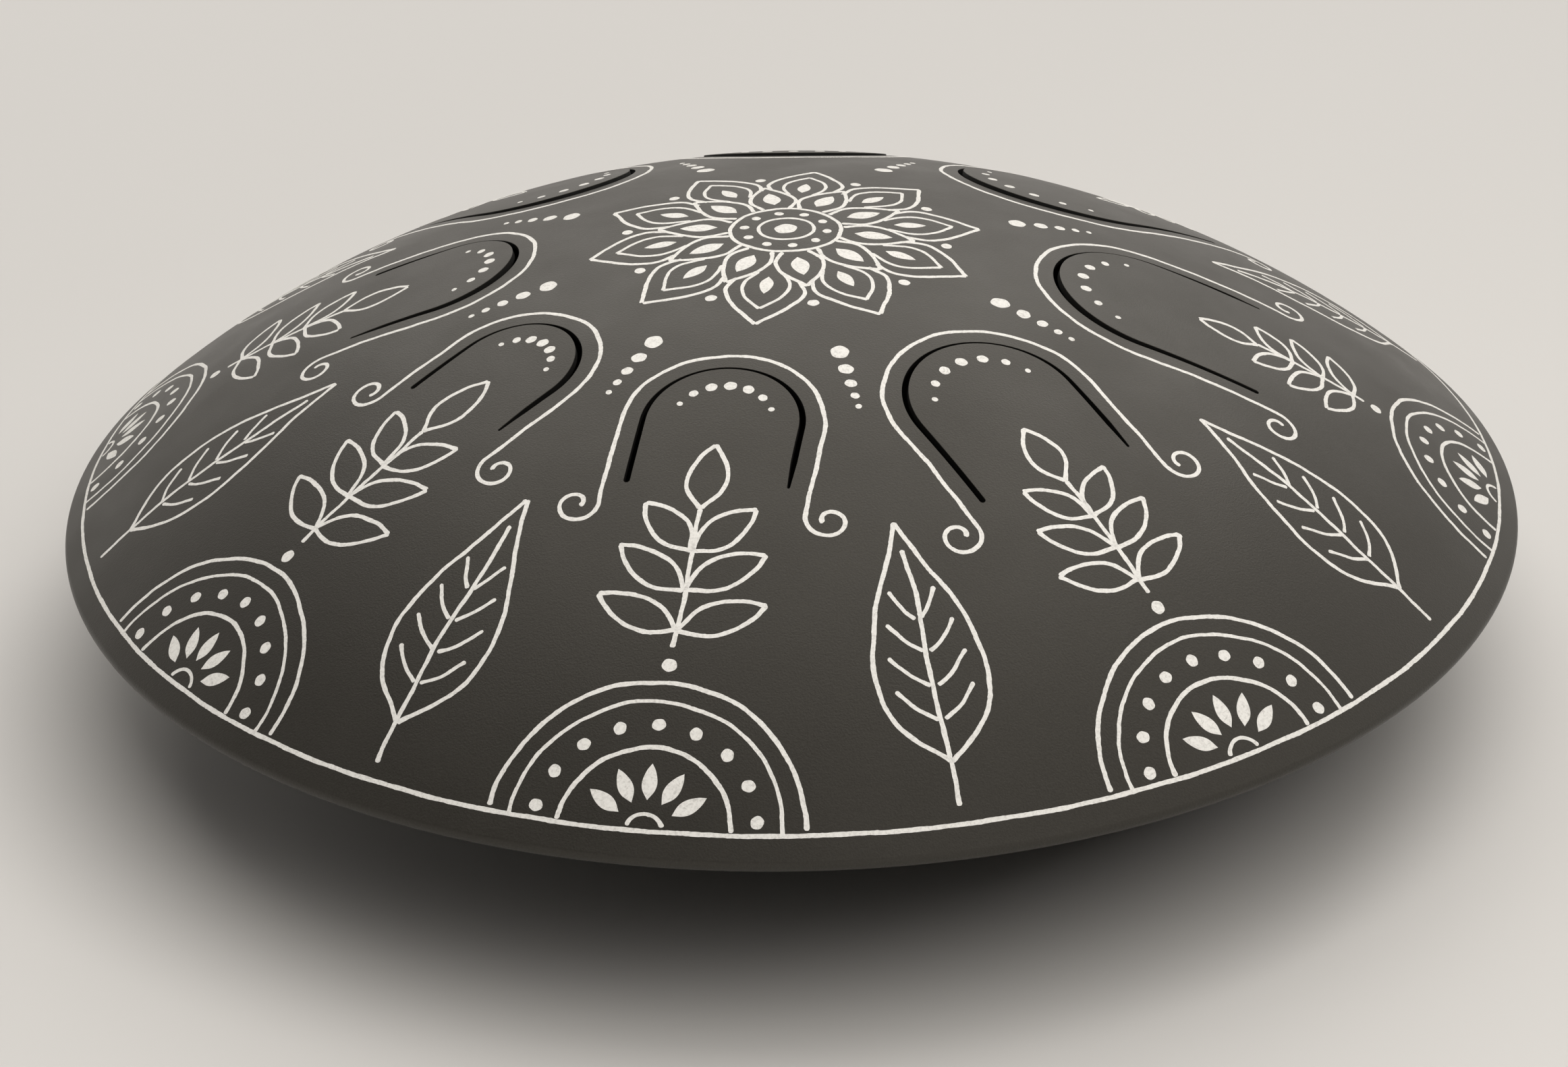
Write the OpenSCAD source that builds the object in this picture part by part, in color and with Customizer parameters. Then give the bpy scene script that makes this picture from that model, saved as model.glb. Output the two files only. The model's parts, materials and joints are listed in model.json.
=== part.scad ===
// Steel tongue drum: two shallow steel dishes welded at the rim into a lens-shaped resonator.
// Eight tongues are cut into the upper dish. Their free ends point at the crown, sprung up slightly,
// and their roots lie towards the rim. The drum stands on three screwed rubber feet around an open
// sound port.
// Origin: centre of the footprint on the floor. The player sits on the -Y side. +X is right, +Z is up.

/* [Drum body] */
// Diameter over the rim
drum_d = 330; // [300:1:360]
// Height of the crown above the rim plane
dome_h = 62; // [54:0.5:68]
// Depth of the flat base below the rim plane
base_depth = 33; // [28:0.5:40]
// Diameter of the flat base
base_d = 190; // [170:1:210]
// Thickness of the steel sheet
sheet_t = 1.5; // [1.2:0.1:2]
// Radius of the rounded rim edge
rim_edge_r = 1.6; // [1.4:0.1:2.4]
// Height of the weld between the two dish edges
weld_h = 2.2; // [1.6:0.1:2.6]

/* [Tongues] */
// Plan distance of the front tongue tips from the drum axis
tip_r = 60; // [54:0.5:66]
// How much further out the tip of the back tongue lies
back_shift = 11; // [0:0.5:16]
// Width of the smallest tongue, between the middles of its slots
first_w = 30.5; // [28:0.5:35]
// Width added with each lower note
step_w = 2.7; // [2:0.05:3]
// Length of the smallest tongue, from slot middle to root
first_l = 30; // [27:0.5:34]
// Length added with each lower note
step_l = 3.5; // [2.5:0.1:4]
// Width of the cut slots
slot_w = 1.3; // [0.6:0.1:1.6]
// How far the free end of a tongue stands proud of the dome
tip_lift = 0.7; // [0:0.05:1]
// Clearance along the root line, where the tongue bends
root_gap = 0.3; // [0.2:0.05:0.5]
// Radius of the circle along which the tongues keep equal gaps
even_gap_r = 130; // [115:1:145]
// Turn of the front tongue towards the left, in degrees
front_turn = 10.5; // [0:0.5:22]

/* [Sound port] */
// Diameter of the sound port in the base
port_d = 64; // [50:1:80]
// Radius of the rolled bead around the port
port_bead_r = 2; // [1.8:0.1:3]

/* [Feet and fasteners] */
// Height of a rubber foot
foot_h = 10; // [9:0.5:14]
// Diameter of a foot where it meets the base
foot_top_d = 26; // [24:0.5:30]
// Diameter of a foot where it meets the floor
foot_floor_d = 23; // [21:0.5:26]
// Distance of a foot's axis from the edge of the flat base
foot_inset = 17; // [15:0.5:20]
// Diameter of the screw's shank
screw_d = 4; // [3:0.5:4.5]
// Length of the screw below its head
screw_l = 14; // [12:0.5:18]
// Diameter of the screw's head
screw_head_d = 7.6; // [7:0.1:8.5]
// Height of the screw's head
screw_head_h = 2.8; // [2.2:0.1:3]
// Width of the hexagon socket in the screw's head
socket_af = 2.5; // [2:0.5:3]
// Depth of the hexagon socket
socket_deep = 1.4; // [1:0.1:1.8]
// Diameter of the washer
washer_d = 9; // [8.8:0.1:10]
// Thickness of the washer
washer_t = 0.8; // [0.6:0.1:1]
// Height of the recess under the foot that hides the screw
recess_h = 5; // [4.6:0.1:5.6]
// Diameter of the rivet nut's barrel
nut_d = 6; // [5.8:0.1:6.6]
// Diameter of the rivet nut's flange, under the base
nut_flange_d = 9; // [8.4:0.1:10]
// Thickness of the rivet nut's flange
nut_flange_t = 0.8; // [0.6:0.1:1]
// Diameter of the bulge that clamps the rivet nut inside the base
nut_bulge_d = 8.4; // [8:0.1:9.4]
// Height of that bulge
nut_bulge_h = 2.5; // [2:0.1:3.5]
// Length of the rivet nut above the base's inner face
nut_l = 8; // [6:0.5:9]
// Clearance round each fastener, on the radius
fit_gap = 0.15; // [0.1:0.05:0.25]

/* [Hidden] */
$fn = 96;

coat = [0.29, 0.28, 0.26];
rubber = [0.09, 0.09, 0.09];
zinc = [0.72, 0.72, 0.70];

// Place of each tongue in the scale, counted round from the front by the right. 0 is the highest note.
note_of = [1, 3, 5, 7, 6, 4, 2, 0];
// Share of the back tongue's outward shift that each tongue has, in the same order
shift_share = [0, 0, 0.05, 0.4, 1, 0.55, 0.1, 0.05];
// Turn of each tongue from its even place, as laid out by hand, in degrees
hand_turn = [0, 0.7, 2.7, 4.8, 3.5, 0, 0, 0];
tongue_count = len(note_of);
foot_count = 3;

drum_r = drum_d / 2;
base_r = base_d / 2;
base_z = foot_h;
rim_z = base_z + base_depth;
// The dishes end where the rounded rim edge starts
dish_r = drum_r - rim_edge_r + sqrt(pow(rim_edge_r, 2) - pow(weld_h / 2, 2));
edge_top_z = rim_z + weld_h / 2;
edge_low_z = rim_z - weld_h / 2;

// The upper dish is a spherical cap from the rim edge to the crown
crown_rise = dome_h - weld_h / 2;
dome_r = (pow(dish_r, 2) + pow(crown_rise, 2)) / (2 * crown_rise);
dome_z = rim_z + dome_h - dome_r;

// The lower dish is a spherical flank from the rim edge to the edge of the flat base
flank_drop = edge_low_z - base_z;
flank_above = (pow(dish_r, 2) - pow(base_r, 2) - pow(flank_drop, 2)) / (2 * flank_drop);
flank_z = edge_low_z + flank_above;
flank_r = sqrt(pow(dish_r, 2) + pow(flank_above, 2));

// The weld reaches in as far as the wider of the two cut edges
dome_edge_in_r = sqrt(pow(dome_r - sheet_t, 2) - pow(dome_r - crown_rise, 2));
flank_edge_in_r = sqrt(pow(flank_r - sheet_t, 2) - pow(flank_above, 2));
weld_in_r = min(dome_edge_in_r, flank_edge_in_r);

foot_ring_r = base_r - foot_inset;
bore_r = screw_d / 2 + fit_gap;
recess_r = washer_d / 2 + 2 * fit_gap;
washer_z = recess_h - washer_t;

function tongue_w(i) = first_w + step_w * note_of[i % tongue_count];
function tongue_l(i) = first_l + step_l * note_of[i % tongue_count];

// Azimuths run from the front (-Y) by the right (+X). Wide tongues take a wider share of the circle.
all_w = [for (i = [0 : tongue_count - 1]) tongue_w(i)];
function total(list, count) = count == 0 ? 0 : list[count - 1] + total(list, count - 1);
even_gap = (2 * PI * even_gap_r - total(all_w, tongue_count)) / tongue_count;
share = [for (i = [0 : tongue_count - 1]) (tongue_w(i) + tongue_w(i + 1)) / 2 + even_gap];
function tongue_az(i) = total(share, i) / even_gap_r * 180 / PI - front_turn + hand_turn[i];

// Angles on the dome from the crown to the tip and to the middle of a tongue
function tip_angle(i) = asin((tip_r + back_shift * shift_share[i]) / dome_r);
function tongue_tilt(i) = tip_angle(i) + asin(tongue_l(i) / 2 / dome_r);

// Puts its children in a tongue's own plane: X across, -Y down the slope to the root, Z out of the dome
module at_tongue(i) {
    rotate(tongue_az(i))
        translate([0, 0, dome_z])
            rotate([tongue_tilt(i), 0, 0])
                children();
}

// A prism through the dome with a tongue's outline: round at the tip, square at the root.
// Its outline lies margin outside the middle line of the slot.
module tongue_prism(i, margin, root_y) {
    round_y = (tongue_l(i) - tongue_w(i)) / 2;
    width = tongue_w(i) + 2 * margin;
    at_tongue(i)
        translate([0, 0, dome_r / 2])
            linear_extrude(dome_r)
                intersection() {
                    union() {
                        translate([0, round_y])
                            circle(d = width);
                        translate([-width / 2, root_y])
                            square([width, round_y - root_y]);
                    }
                    translate([-width / 2, root_y])
                        square([width, tongue_l(i) + width]);
                }
}

// The upper dish before its tongues are cut
module dome_sheet() {
    rotate_extrude()
        intersection() {
            translate([0, dome_z])
                difference() {
                    circle(dome_r);
                    circle(dome_r - sheet_t);
                }
            translate([0, edge_top_z])
                square([drum_r, dome_h]);
        }
}

module upper_shell() {
    color(coat)
        difference() {
            dome_sheet();
            for (i = [0 : tongue_count - 1])
                tongue_prism(i, slot_w / 2, -tongue_l(i) / 2);
        }
}

// Turns a tongue about its root line, in the middle of the sheet, until its tip stands proud
module lift_tip(i) {
    root_y = -tongue_l(i) / 2;
    root_z = sqrt(pow(dome_r - sheet_t / 2, 2) - pow(root_y, 2));
    at_tongue(i)
        translate([0, root_y, root_z])
            rotate([asin(tip_lift / tongue_l(i)), 0, 0])
                translate([0, -root_y, -root_z])
                    rotate([-tongue_tilt(i), 0, 0])
                        translate([0, 0, -dome_z])
                            rotate(-tongue_az(i))
                                children();
}

module tongue(i) {
    color(coat)
        lift_tip(i)
            intersection() {
                dome_sheet();
                tongue_prism(i, -slot_w / 2, -tongue_l(i) / 2 + root_gap);
            }
}

// Half section of the lower dish: flank, flat base and the rolled bead around the sound port
module lower_section() {
    difference() {
        intersection() {
            translate([0, flank_z])
                circle(flank_r);
            translate([port_d / 2 + port_bead_r, base_z])
                square([drum_r, edge_low_z - base_z]);
        }
        intersection() {
            translate([0, flank_z])
                circle(flank_r - sheet_t);
            translate([0, base_z + sheet_t])
                square([drum_r, base_depth]);
        }
    }
    translate([port_d / 2 + port_bead_r, base_z + sheet_t])
        circle(port_bead_r);
}

module lower_shell() {
    color(coat)
        difference() {
            rotate_extrude()
                lower_section();
            for (i = [0 : foot_count - 1])
                at_foot(i)
                    translate([0, 0, base_z - sheet_t])
                        cylinder(h = 3 * sheet_t, r = nut_d / 2 + fit_gap);
        }
}

module rim_weld() {
    color(coat)
        rotate_extrude()
            translate([0, rim_z]) {
                intersection() {
                    translate([drum_r - rim_edge_r, 0])
                        circle(rim_edge_r);
                    translate([weld_in_r, -weld_h / 2])
                        square([drum_r, weld_h]);
                }
                translate([weld_in_r, -weld_h / 2])
                    square([drum_r - rim_edge_r - weld_in_r, weld_h]);
            }
}

module at_foot(i) {
    rotate(360 / foot_count * i)
        translate([0, -foot_ring_r, 0])
            children();
}

module foot(i) {
    seat_h = nut_flange_t + fit_gap;
    color(rubber)
        at_foot(i)
            difference() {
                cylinder(h = foot_h, d1 = foot_floor_d, d2 = foot_top_d);
                translate([0, 0, -recess_h])
                    cylinder(h = 2 * recess_h, r = recess_r);
                cylinder(h = foot_h, r = bore_r);
                translate([0, 0, foot_h - seat_h])
                    cylinder(h = 2 * seat_h, r = nut_flange_d / 2 + fit_gap);
            }
}

module foot_washers() {
    color(zinc)
        for (i = [0 : foot_count - 1])
            at_foot(i)
                translate([0, 0, washer_z])
                    difference() {
                        cylinder(h = washer_t, d = washer_d);
                        translate([0, 0, -washer_t])
                            cylinder(h = 3 * washer_t, r = bore_r);
                    }
}

module foot_screws() {
    head_z = washer_z - screw_head_h;
    bevel = screw_head_h / 3;
    color(zinc)
        for (i = [0 : foot_count - 1])
            at_foot(i)
                difference() {
                    union() {
                        translate([0, 0, head_z])
                            cylinder(h = bevel, d1 = screw_head_d - 2 * bevel, d2 = screw_head_d);
                        translate([0, 0, head_z + bevel])
                            cylinder(h = screw_head_h - bevel, d = screw_head_d);
                        translate([0, 0, washer_z])
                            cylinder(h = screw_l, d = screw_d);
                    }
                    translate([0, 0, head_z - socket_deep])
                        cylinder(h = 2 * socket_deep, d = socket_af / cos(30), $fn = 6);
                }
}

module rivet_nuts() {
    inside_z = base_z + sheet_t;
    color(zinc)
        for (i = [0 : foot_count - 1])
            at_foot(i)
                difference() {
                    union() {
                        translate([0, 0, base_z - nut_flange_t])
                            cylinder(h = nut_flange_t, d = nut_flange_d);
                        translate([0, 0, base_z])
                            cylinder(h = sheet_t + nut_l, d = nut_d);
                        translate([0, 0, inside_z])
                            cylinder(h = nut_bulge_h, d = nut_bulge_d);
                    }
                    translate([0, 0, base_z - 2 * nut_flange_t])
                        cylinder(h = 2 * (sheet_t + nut_l), r = bore_r);
                }
}

upper_shell();
lower_shell();
rim_weld();
for (i = [0 : tongue_count - 1]) tongue(i);
for (i = [0 : foot_count - 1]) foot(i);
foot_washers();
foot_screws();
rivet_nuts();
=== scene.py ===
"""Looks of a steel tongue drum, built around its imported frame.

Sizes are in millimetres and become metres where a mesh is made. Azimuths run from the front (-Y) by
the right (+X), and a plan point is the (x, y) of a point on the dome seen from above.
"""
import json
import math
import random

import bmesh
import bpy
import numpy as np
from mathutils import Matrix, Vector
from mathutils.geometry import delaunay_2d_cdt


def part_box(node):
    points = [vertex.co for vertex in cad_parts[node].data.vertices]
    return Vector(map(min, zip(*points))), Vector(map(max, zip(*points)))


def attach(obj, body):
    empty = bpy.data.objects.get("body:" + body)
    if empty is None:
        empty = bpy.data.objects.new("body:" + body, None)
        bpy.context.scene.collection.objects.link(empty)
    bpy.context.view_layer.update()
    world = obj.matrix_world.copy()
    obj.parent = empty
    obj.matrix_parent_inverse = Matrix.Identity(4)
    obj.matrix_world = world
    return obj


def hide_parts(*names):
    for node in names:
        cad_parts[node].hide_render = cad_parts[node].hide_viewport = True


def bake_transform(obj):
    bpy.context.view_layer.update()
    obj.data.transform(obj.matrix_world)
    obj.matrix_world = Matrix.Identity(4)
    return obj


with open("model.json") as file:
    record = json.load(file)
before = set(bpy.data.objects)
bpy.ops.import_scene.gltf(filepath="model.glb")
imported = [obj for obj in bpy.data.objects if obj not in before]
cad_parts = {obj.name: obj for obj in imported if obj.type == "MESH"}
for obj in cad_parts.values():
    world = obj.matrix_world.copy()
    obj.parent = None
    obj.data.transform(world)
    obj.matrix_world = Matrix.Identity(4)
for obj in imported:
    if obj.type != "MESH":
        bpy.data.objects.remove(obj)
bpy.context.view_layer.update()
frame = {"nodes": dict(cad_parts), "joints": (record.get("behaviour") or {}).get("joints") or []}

MM = 0.001
ROUND_STEPS = 256

# Points that become one lie within MERGE metres, and sizes taken as equal within SAME millimetres
MERGE = 1e-7
SAME = 0.01

# Sizes that the solids share
SHEET_T = 1.5
SLOT_W = 1.3

# Share of a tongue's length from its root to the end of its bend, worked out in bend() but not used
BEND_SHARE = 0.45

# Rounding of the cut edges, the depth to which a slot's wall keeps the coat's colour above the
# near-black painted shade below it, and the shape of the slots' ends
EDGE_R = 0.09
EDGE_STEPS = 3
COAT_DEPTH = 0.15
TAPER_L = 7.0
TAPER_END = 0.45

# How far past the root a slot's two legs may be sawn, least and most
LEFT_OVERRUN = (0.6, 2.0)
RIGHT_OVERRUN = (0.0, 0.8)

# Spacing of the sheet's mesh points outside and inside, and the room they leave beside its seams
OUTER_STEP = 4.0
INNER_STEP = 7.0
EDGE_CLEAR = 2.0
ROOT_CLEAR = 3.0

# Drawn lines; the roughness of a line's edges is a share of half its width
LINE_W = 1.0
FINE_W = 0.84
LINE_STEP = 0.5
LINE_ROUGH = 0.05
LINE_TOP = 0.07
LINE_SINK = 0.03
RIM_LINE_R = 160.7
SLOT_CLEAR = 0.9

# Camera, from a fit to the rim and the outline in the photograph
PHOTO_W = 2324
FOCAL_PX = 5108
CAMERA_DISTANCE = 796.5
CAMERA_ELEVATION = 26.51
CAMERA_PAN = 0.12
CAMERA_TILT = -0.93
CAMERA_ROLL = 1.03

# Light and backdrop; the backdrop darkens along BACKDROP_RISE, between two heights of a unit direction
LIGHT_COLOUR = (1.0, 0.965, 0.92)
WORLD_STRENGTH = 0.03
BACKDROP_COLOUR = (0.74, 0.706, 0.662)
BACKDROP_TOP = (0.10, 0.094, 0.086)
BACKDROP_RISE = (-0.3, 0, 1)
BACKDROP_FADE = (0.35, 0.95)

# Soft lamps: name, place and side in metres, power in watts, and whether gloss shows the lamp
LAMPS = (
    ("overhead", (0.3, -0.42, 1.0), 1.2, 11, False),
    ("back", (0.05, 0.85, 1.55), 2.5, 26, True),
    ("fill", (-1.3, 0.7, 0.6), 1.2, 4, False),
)

# Floor, in metres: half its side, and the distances between which it turns into the backdrop
FLOOR_HALF = 30.0
FLOOR_FADE = (0.3, 1.0)

random.seed(11)
edge_noise = np.random.default_rng(11)


# Sizes read from the frame

def node_points(name):
    """A CAD node's vertices."""
    return np.array([v.co for v in frame["nodes"][name].data.vertices]) / MM


def plan_radius(points):
    return np.hypot(points[:, 0], points[:, 1])


rim_points = node_points("rim_weld")
DRUM_R = plan_radius(rim_points).max()
RIM_Z = (rim_points[:, 2].min() + rim_points[:, 2].max()) / 2
WELD_H = rim_points[:, 2].max() - rim_points[:, 2].min()

upper_points = node_points("upper_shell")
DISH_R = plan_radius(upper_points).max()
CROWN_Z = upper_points[:, 2].max()
EDGE_TOP_Z = upper_points[:, 2].min()
CROWN_RISE = CROWN_Z - EDGE_TOP_Z
DOME_R = (DISH_R ** 2 + CROWN_RISE ** 2) / (2 * CROWN_RISE)
DOME_Z = CROWN_Z - DOME_R
INNER_R = DOME_R - SHEET_T

lower_points = node_points("lower_shell")
PORT_R = plan_radius(lower_points).min()
BASE_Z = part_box("foot_1")[1].z / MM
EDGE_LOW_Z = RIM_Z - WELD_H / 2
on_base = np.abs(lower_points[:, 2] - BASE_Z) < SAME
BASE_R = plan_radius(lower_points[on_base]).max()


class Patch:
    """A plane that touches the dome: x runs across, y up the slope, z out of the dome's centre."""

    def __init__(self, azimuth, angle):
        self.azimuth = azimuth
        ca, sa = math.cos(azimuth), math.sin(azimuth)
        ct, st = math.cos(angle), math.sin(angle)
        turn = np.array([[ca, -sa, 0], [sa, ca, 0], [0, 0, 1]])
        lean = np.array([[1, 0, 0], [0, ct, -st], [0, st, ct]])
        self.turn = turn @ lean

    def world(self, x, y, depth=0.0, radius=None):
        """Points at (x, y) in the plane, on a sphere about the dome's centre, sunk by depth."""
        x, y = np.asarray(x, float), np.asarray(y, float)
        radius = DOME_R if radius is None else radius
        z = np.sqrt(radius ** 2 - x ** 2 - y ** 2) - depth
        return np.stack([x, y, z], -1) @ self.turn.T + (0, 0, DOME_Z)

    def plan(self, points):
        """Plan points of (x, y) pairs in the plane."""
        points = np.asarray(points, float)
        return self.world(points[:, 0], points[:, 1])[:, :2]

    def local(self, plan):
        """(x, y) in the plane of plan points on the dome."""
        return (on_dome(plan) - (0, 0, DOME_Z)) @ self.turn[:, :2]


def on_dome(plan, radius=None):
    plan = np.asarray(plan, float)
    radius = DOME_R if radius is None else radius
    z = DOME_Z + np.sqrt(radius ** 2 - (plan ** 2).sum(1))
    return np.column_stack([plan, z])


def dome_normal(points):
    out = points - (0, 0, DOME_Z)
    return out / np.linalg.norm(out, axis=1)[:, None]


class Tongue(Patch):
    """A tongue's own plane, and the U-shaped slot that frees it."""

    def __init__(self, joint):
        self.body = joint["child"]
        root = np.array(joint["pos_m"]) / MM - (0, 0, DOME_Z)
        plate = node_points(self.body) - (0, 0, DOME_Z)
        root_angle = math.atan2(math.hypot(root[0], root[1]), root[2])
        plate_angle = np.arctan2(plan_radius(plate), plate[:, 2]).min()
        tip_angle = plate_angle - SLOT_W / 2 / DOME_R
        super().__init__(math.atan2(joint["axis"][1], joint["axis"][0]), (root_angle + tip_angle) / 2)
        self.length = 2 * DOME_R * math.sin((root_angle - tip_angle) / 2)
        self.half_w = np.abs(plate @ self.turn[:, 0]).max() + SLOT_W / 2
        self.arch_y = self.length / 2 - self.half_w
        self.root_y = -self.length / 2
        self.lift = np.linalg.norm(plate, axis=1).max() - DOME_R
        # The two legs are sawn to slightly different lengths when the note is tuned
        self.left_end_y = self.root_y + SLOT_W / 2 - random.uniform(*LEFT_OVERRUN)
        self.right_end_y = self.root_y + SLOT_W / 2 - random.uniform(*RIGHT_OVERRUN)

    def raised(self, points, normals=None):
        """Points of the flush tongue bent up as a sprung bar bends, with its tip at the full lift."""
        up = dome_normal(points)
        reach = np.clip(0.5 + self.local(points[:, :2])[:, 1] / self.length, 0, 1)
        height = self.lift * reach ** 2 * (3 - reach) / 2
        slope = self.lift / self.length * reach * (3 - 1.5 * reach)
        bent = points + up * height[:, None]
        if normals is None:
            return bent
        leaning = normals - self.turn[:, 1] * (slope * (normals * up).sum(1))[:, None]
        return bent, leaning / np.linalg.norm(leaning, axis=1)[:, None]

    def slot_half(self, side, y):
        """Half the slot's width: full, but drawn out to a thin end on the right leg."""
        if side < 0:
            return SLOT_W / 2
        share = min(1.0, max(0.0, (y - self.right_end_y) / TAPER_L))
        return SLOT_W / 2 * (TAPER_END + (1 - TAPER_END) * share)

    def end_y(self, side):
        return self.left_end_y if side < 0 else self.right_end_y

    def leg(self, side, edge, margin):
        """One edge of a leg from the arch down to its end; edge is -1 on the tongue's side."""
        ys = np.linspace(self.arch_y, self.end_y(side), 13)
        return [(side * (self.half_w + edge * (self.slot_half(side, y) + margin)), y) for y in ys]

    def cap(self, side, margin):
        """The round end of a leg, from the tongue's side to the outer side."""
        end_y = self.end_y(side)
        r = self.slot_half(side, end_y) + margin
        turns = np.linspace(math.pi, 2 * math.pi, 9)[1:-1]
        return [(side * (self.half_w + r * math.cos(a)), end_y + r * math.sin(a)) for a in turns]

    def arch(self, edge, margin):
        """One edge of the arch, from right to left."""
        r = self.half_w + edge * (SLOT_W / 2 + margin)
        turns = np.linspace(0, math.pi, 49)[1:-1]
        return [(r * math.cos(a), self.arch_y + r * math.sin(a)) for a in turns]

    def inner_edge(self, margin):
        """The slot's edge on the tongue, from the right root to the left one."""
        return self.leg(1, -1, margin)[::-1] + self.arch(-1, margin) + self.leg(-1, -1, margin)

    def outer_edge(self, margin):
        """The slot's edge on the dish, from the tongue's left root round to its right one."""
        left = [self.leg(-1, -1, margin)[-1]] + self.cap(-1, margin) + self.leg(-1, 1, margin)[::-1]
        right = self.leg(1, 1, margin) + self.cap(1, margin)[::-1] + [self.leg(1, -1, margin)[-1]]
        return left + self.arch(1, margin)[::-1] + right

    def root_line(self, margin):
        """The line where the tongue's skin joins the dish's, from left to right, ends left out."""
        a, b = np.array(self.inner_edge(margin)[-1]), np.array(self.inner_edge(margin)[0])
        return [tuple(a + (b - a) * t) for t in np.linspace(0, 1, 14)[1:-1]]

    def slot_distance(self, xy):
        """Distance of local points from the middle line of the slot."""
        x, y = np.abs(xy[:, 0]), xy[:, 1]
        end_y = np.where(xy[:, 0] < 0, self.left_end_y, self.right_end_y)
        arch = np.abs(np.hypot(x, y - self.arch_y) - self.half_w)
        leg = np.hypot(x - self.half_w, np.minimum(0, y - end_y))
        return np.where(y > self.arch_y, arch, leg)

    def holds(self, xy):
        """Which local points lie on the tongue."""
        x, y = np.abs(xy[:, 0]), xy[:, 1]
        slope = (self.right_end_y - self.left_end_y) / (2 * self.half_w)
        above_root = y > (self.left_end_y + self.right_end_y) / 2 + slope * xy[:, 0]
        in_arch = np.hypot(x, y - self.arch_y) < self.half_w
        return np.where(y > self.arch_y, in_arch, (x < self.half_w) & above_root)


tongues = [Tongue(j) for j in frame["joints"]]


# Mesh helpers

def new_object(name, mesh, *materials):
    obj = bpy.data.objects.new(name, mesh)
    bpy.context.scene.collection.objects.link(obj)
    for material in materials:
        mesh.materials.append(material)
    return obj


class Skin:
    """Faces with their own corner normals and material slots, merged into one closed mesh."""

    def __init__(self, bend=None):
        self.points, self.faces, self.normals, self.slots = [], [], [], []
        self.bend = bend

    def add(self, points, normals, faces, slot=0):
        """normals has one row a point, or is None for flat faces."""
        points = np.asarray(points)
        if self.bend and normals is None:
            points = self.bend(points)
        elif self.bend:
            points, normals = self.bend(points, np.asarray(normals))
        start = len(self.points)
        self.points.extend(map(tuple, points))
        for face in faces:
            self.faces.append([start + i for i in face])
            self.normals.append(None if normals is None else [tuple(normals[i]) for i in face])
            self.slots.append(slot)

    def strip(self, rows, normals, closed=False, slot=0):
        """Quads between rows of points of equal length."""
        count = len(rows[0])
        faces = []
        for j in range(len(rows) - 1):
            for i in range(count if closed else count - 1):
                k = (i + 1) % count
                faces.append((j * count + i, (j + 1) * count + i, (j + 1) * count + k, j * count + k))
        self.add(np.concatenate(rows), None if normals is None else np.concatenate(normals), faces, slot)

    def build(self, name, *materials):
        points = np.array(self.points) * MM
        keys = np.round(points / MERGE).astype(np.int64)
        _, first, index = np.unique(keys, axis=0, return_index=True, return_inverse=True)
        index = index.reshape(-1)
        mesh = bpy.data.meshes.new(name)
        faces, corner_normals, slots = [], [], []
        for face, normals, slot in zip(self.faces, self.normals, self.slots):
            ids = [int(index[i]) for i in face]
            if len(set(ids)) < len(ids):
                continue
            if normals is None:
                third = len(face) // 3
                a, b, c = (Vector(points[face[i]]) for i in (0, third, 2 * len(face) // 3))
                normals = [tuple((b - a).cross(c - a).normalized())] * len(face)
            faces.append(ids)
            slots.append(slot)
            corner_normals.extend(normals)
        mesh.from_pydata(points[first].tolist(), [], faces)
        mesh.polygons.foreach_set("use_smooth", [True] * len(faces))
        mesh.polygons.foreach_set("material_index", slots)
        mesh.normals_split_custom_set(corner_normals)
        mesh.update()
        return new_object(name, mesh, *materials)


def enclosed(points, loop):
    """Which plan points lie inside a closed loop."""
    x, y = points[:, :1], points[:, 1:]
    ax, ay = loop.T
    bx, by = np.roll(loop, -1, 0).T
    crossing = (ay > y) != (by > y)
    crossing_x = ax + (y - ay) / np.where(by == ay, 1, by - ay) * (bx - ax)
    return (crossing & (x < crossing_x)).sum(1) % 2 == 1


def triangulate(loops, inside):
    """Triangles of the plan area within the first loop and outside the others, with points inside."""
    points, edges = [], []
    for loop in loops:
        start = len(points)
        points.extend(map(tuple, loop))
        edges.extend((start + i, start + (i + 1) % len(loop)) for i in range(len(loop)))
    points.extend(map(tuple, inside))
    _, _, faces, sources, _, _ = delaunay_2d_cdt([Vector(p) for p in points], edges, [], 1, 1e-5)
    out, faces = np.array(points)[[s[0] for s in sources]], np.array(faces)
    middle = out[faces].mean(1)
    kept = enclosed(middle, loops[0])
    for hole in loops[1:]:
        kept &= ~enclosed(middle, hole)
    return out, faces[kept].tolist()


def grid(step, limit):
    """Plan points on rings about the drum's axis."""
    rings = [np.zeros((1, 2))]
    for k in range(1, int(limit / step)):
        r = k * step
        count = round(2 * math.pi * k)
        turns = (np.arange(count) + 0.5 * (k % 2)) * 2 * math.pi / count
        rings.append(np.column_stack([r * np.cos(turns), r * np.sin(turns)]))
    return np.concatenate(rings)


def circle(radius, steps=ROUND_STEPS):
    turns = np.arange(steps) * 2 * math.pi / steps
    return np.column_stack([radius * np.cos(turns), radius * np.sin(turns)])


# Upper dish and tongues: one sheet, parted along the tongues' root lines

EDGE_RINGS = [(EDGE_R * (1 - math.sin(a)), EDGE_R * (1 - math.cos(a)), a)
              for a in np.linspace(0, math.pi / 2, EDGE_STEPS + 1)]


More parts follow.
